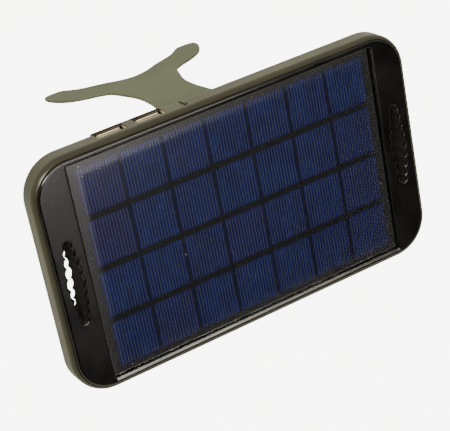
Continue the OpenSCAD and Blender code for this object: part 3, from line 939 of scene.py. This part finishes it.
FINISHES = {
    "case_plastic": case_plastic,
    "steel": steel,
    "panel_board": board_finish(),
    "tape": speckled("tape", (0.6, 0.58, 0.5), (0.72, 0.7, 0.62), 700, 0.7, 0.02),
    "wire_red": speckled("wire_red", (0.42, 0.012, 0.01), (0.55, 0.02, 0.014), 1200, 0.4, 0.006),
    "wire_black": speckled(
        "wire_black", (0.008, 0.008, 0.008), (0.02, 0.02, 0.02), 1200, 0.4, 0.006),
    "pouch_foil": speckled(
        "pouch_foil", (0.5, 0.51, 0.53), (0.68, 0.69, 0.71), 500, 0.36, 0.03, Metallic=0.8),
    "foam": speckled("foam", (0.02, 0.02, 0.02), (0.045, 0.045, 0.045), 1500, 0.9, 0.08),
    "nickel": metal("nickel", (0.5, 0.48, 0.43), (0.66, 0.63, 0.57), 0.28, (1, 6, 1)),
    "circuit_board": speckled(
        "circuit_board", (0.01, 0.085, 0.03), (0.016, 0.13, 0.05), 800, 0.4, 0.01),
    "contact_gold": metal("contact_gold", (0.78, 0.54, 0.2), (0.95, 0.7, 0.32), 0.22, (1, 6, 1)),
    "chip_black": speckled("chip_black", (0.012, 0.012, 0.013), (0.028, 0.028, 0.03), 1600, 0.55, 0.01),
    "capacitor": speckled(
        "capacitor", (0.36, 0.24, 0.12), (0.5, 0.35, 0.19), 1200, 0.5, 0.01),
}

for node in frame["nodes"].values():
    if not node.hide_render:
        name = node.data.materials[0].name.split(".")[0]
        if name in FINISHES:
            for spot in node.material_slots:
                spot.link = "OBJECT"
                spot.material = FINISHES[name]

# ---------- Floor, world and lights ----------

# The floor glows evenly to the camera, and more towards its far side to everything else
FLOOR_R = 4
FLOOR_GLOW = 0.35
FLOOR_FAR_GLOW = 1.2
FLOOR_NEAR = 0.14
FLOOR_FAR = 0.3
FLOOR_SEEN = 7.0
FLOOR_LIGHT = (0.97, 1.0, 0.70)
FLOOR_WHITE = (1.0, 1.0, 0.99)

# The room is dark in front of the case and bright behind it
ROOM_FRONT = 0.01
ROOM_BACK = 1.3
ROOM_FADE = (-0.2, 0.6)
ROOM_SEEN = 1.6
ROOM_COLOUR = (1.0, 0.95, 0.85, 1)


def make_floor():
    bpy.ops.mesh.primitive_circle_add(vertices=96, radius=FLOOR_R, fill_type="NGON")
    floor = bpy.context.object
    floor.name = "studio_floor"
    f = Finish("studio_floor")
    mottle = f.span(f.noise(3, 3), 0.3, 0.7)
    f.use("Base Color", f.blend(mottle, (0.36, 0.355, 0.31), (0.39, 0.385, 0.34)))
    f.use("Roughness", f.span(f.noise(40, 2), 0.3, 0.7, 0.75, 0.85))
    f.shader.inputs["Specular IOR Level"].default_value = 0.1
    split = f.node("ShaderNodeSeparateXYZ")
    f.link(f.coord, split.inputs["Vector"])
    behind = f.span(split.outputs["Y"], FLOOR_NEAR, FLOOR_FAR, FLOOR_GLOW, FLOOR_FAR_GLOW)
    seen = f.node("ShaderNodeLightPath").outputs["Is Camera Ray"]
    glow = f.node("ShaderNodeMix", data_type="FLOAT")
    f.link(seen, glow.inputs["Factor"])
    f.link(behind, glow.inputs["A"])
    glow.inputs["B"].default_value = FLOOR_SEEN
    f.use("Emission Strength", glow.outputs["Result"])
    f.use("Emission Color", f.blend(seen, FLOOR_LIGHT, FLOOR_WHITE))
    floor.data.materials.append(f.mat)


def make_world():
    world = bpy.data.worlds.new("studio")
    bpy.context.scene.world = world
    world.use_nodes = True
    tree = world.node_tree
    back = tree.nodes["Background"]
    coord = tree.nodes.new("ShaderNodeTexCoord")
    split = tree.nodes.new("ShaderNodeSeparateXYZ")
    tree.links.new(coord.outputs["Generated"], split.inputs["Vector"])
    fade = tree.nodes.new("ShaderNodeMapRange")
    fade.inputs["From Min"].default_value = ROOM_FADE[0]
    fade.inputs["From Max"].default_value = ROOM_FADE[1]
    fade.inputs["To Min"].default_value = ROOM_FRONT
    fade.inputs["To Max"].default_value = ROOM_BACK
    tree.links.new(split.outputs["Y"], fade.inputs["Value"])
    path = tree.nodes.new("ShaderNodeLightPath")
    seen = tree.nodes.new("ShaderNodeMix")
    seen.data_type = "FLOAT"
    tree.links.new(path.outputs["Is Camera Ray"], seen.inputs["Factor"])
    tree.links.new(fade.outputs["Result"], seen.inputs["A"])
    seen.inputs["B"].default_value = ROOM_SEEN
    back.inputs["Color"].default_value = ROOM_COLOUR
    tree.links.new(seen.outputs["Result"], back.inputs["Strength"])


def area_light(name, place, target, size, power, colour, size_y=None):
    data = bpy.data.lights.new(name, "AREA")
    data.shape = "RECTANGLE"
    data.size = size
    data.size_y = size_y or size
    data.energy = power
    data.color = colour
    light = bpy.data.objects.new(name, data)
    light.location = place
    light.rotation_euler = (Vector(target) - Vector(place)).to_track_quat("-Z", "Y").to_euler()
    bpy.context.scene.collection.objects.link(light)


make_floor()
make_world()
area_light(
    "front_soft", (0.23, -0.905, 0.632), (0.061, -0.035, -0.03), 0.3, 2.0, (1.0, 0.93, 0.9), 0.2)
area_light("overhead", (0.0, -0.32, 1.0), (0.0, 0.0, 0.06), 1.0, 16, (1.0, 0.94, 0.8), 0.26)
area_light("corner_soft", (-0.62, -0.08, 0.95), (-0.085, 0.05, 0.085), 0.3, 12, (1.0, 0.96, 0.88))
